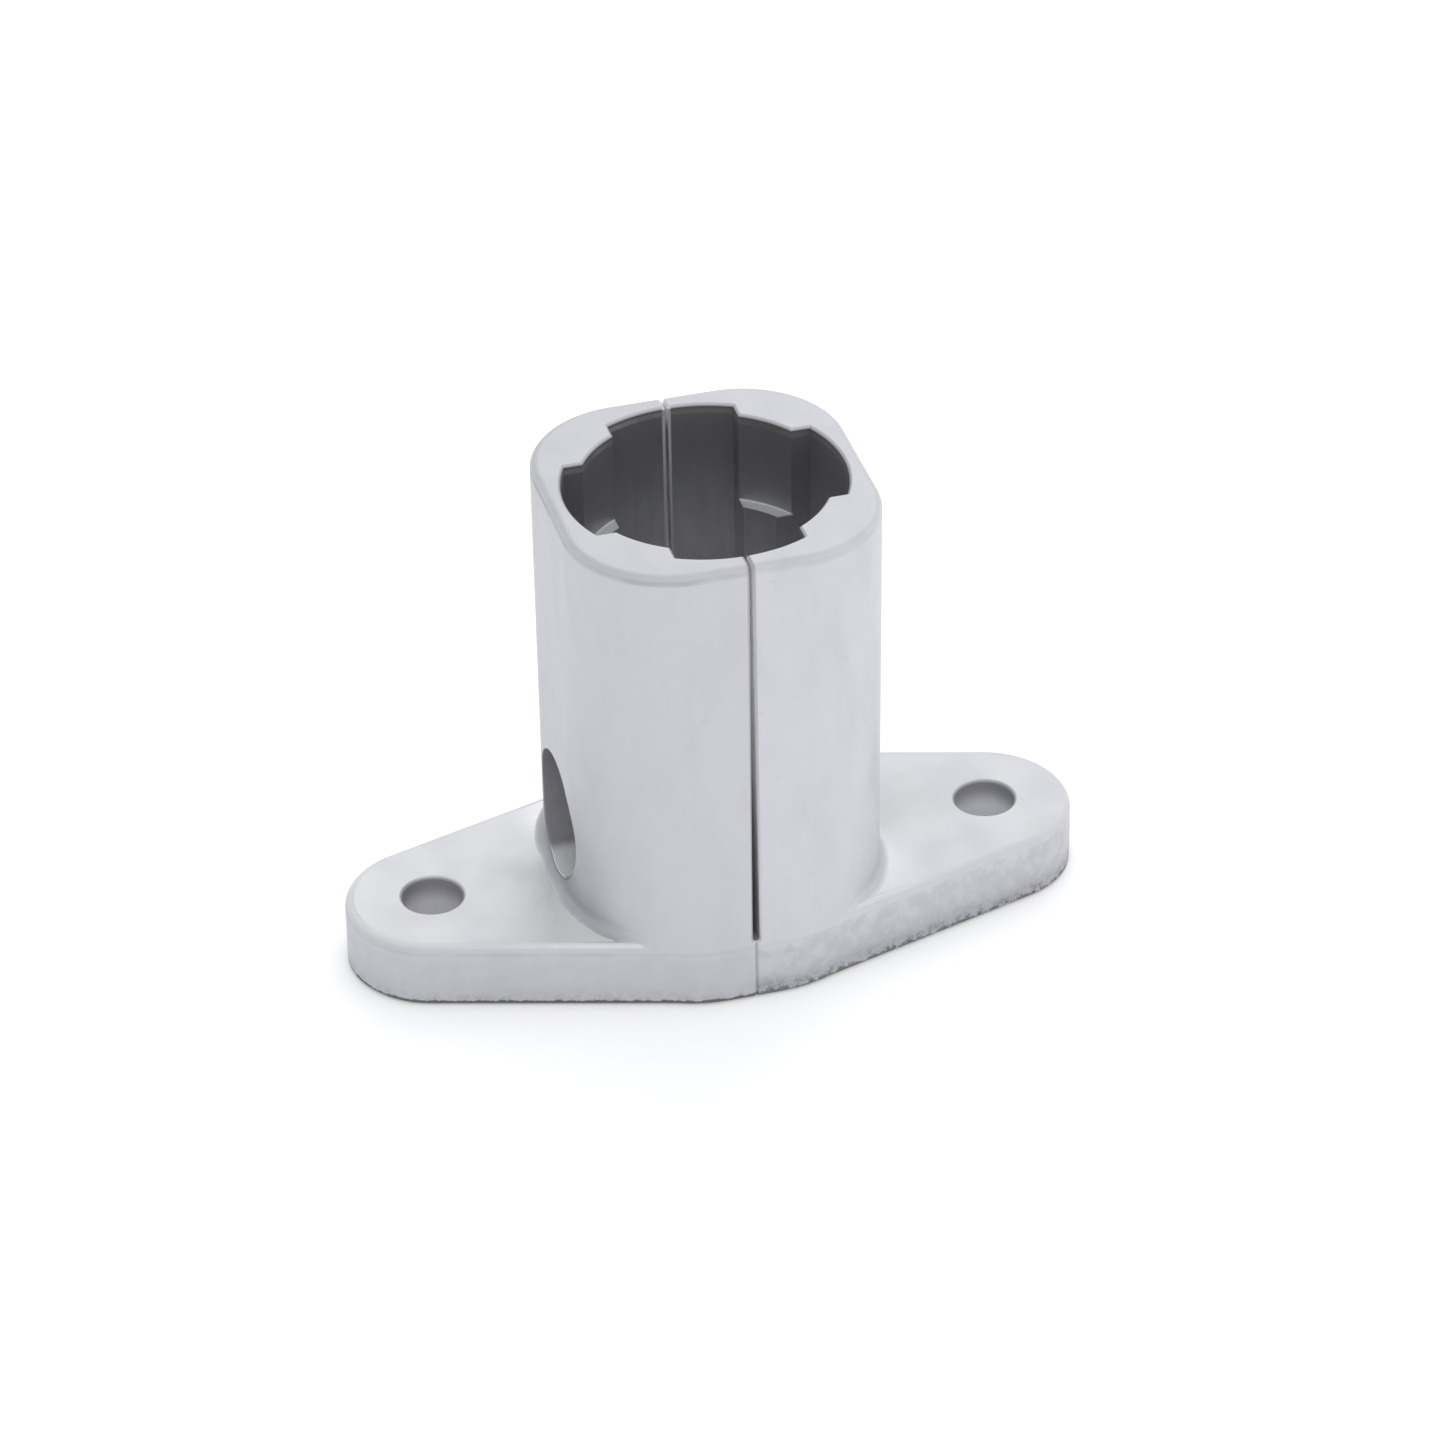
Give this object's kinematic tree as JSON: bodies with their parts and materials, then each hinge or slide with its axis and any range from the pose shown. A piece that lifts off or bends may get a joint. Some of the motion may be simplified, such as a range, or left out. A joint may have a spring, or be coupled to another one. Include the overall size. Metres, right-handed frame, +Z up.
{
  "type": "stanchion base",
  "caption": "Split deck socket for an upright tube: cast halves, each with a mounting ear, clamped together by a cross bolt.",
  "frame": {"origin": "middle of the footprint, on the deck plane", "axes": "+Z up along the socket, X from ear to ear (the bolt head is on the -X side), Y across the slit's two openings"},
  "size_m": [0.086, 0.0378, 0.058],
  "materials": {
    "cast_aluminium": "satin, fine blasted casting skin",
    "stainless": "satin stainless steel",
    "nylon": "natural nylon"
  },
  "bodies": {
    "left": {"left_half": "cast_aluminium", "bolt_washer": "stainless"},
    "bolt": {"clamp_bolt": "stainless"},
    "nut": {"lock_nut": "stainless", "lock_nut_insert": "nylon", "nut_washer": "stainless"},
    "right": {"right_half": "cast_aluminium"}
  },
  "joints": [
    {"name": "bolt_turn", "type": "hinge", "parent": "left", "child": "bolt", "pos_m": [0, 0, 0.0165], "axis": [-1, 0, 0], "range_deg": [0, 630]},
    {"name": "nut_back_off", "type": "slide", "parent": "left", "child": "nut", "axis": [1, 0, 0], "range_m": [0, 0.00175]},
    {"name": "half_rock", "type": "hinge", "parent": "nut", "child": "right", "pos_m": [0, 0, 0.0078], "axis": [0, -1, 0], "range_deg": [0, 0.33]}
  ],
  "couplings": [
    {"joint": "bolt_turn", "follows": "nut_back_off", "rad_per_m": 6283.2}
  ]
}
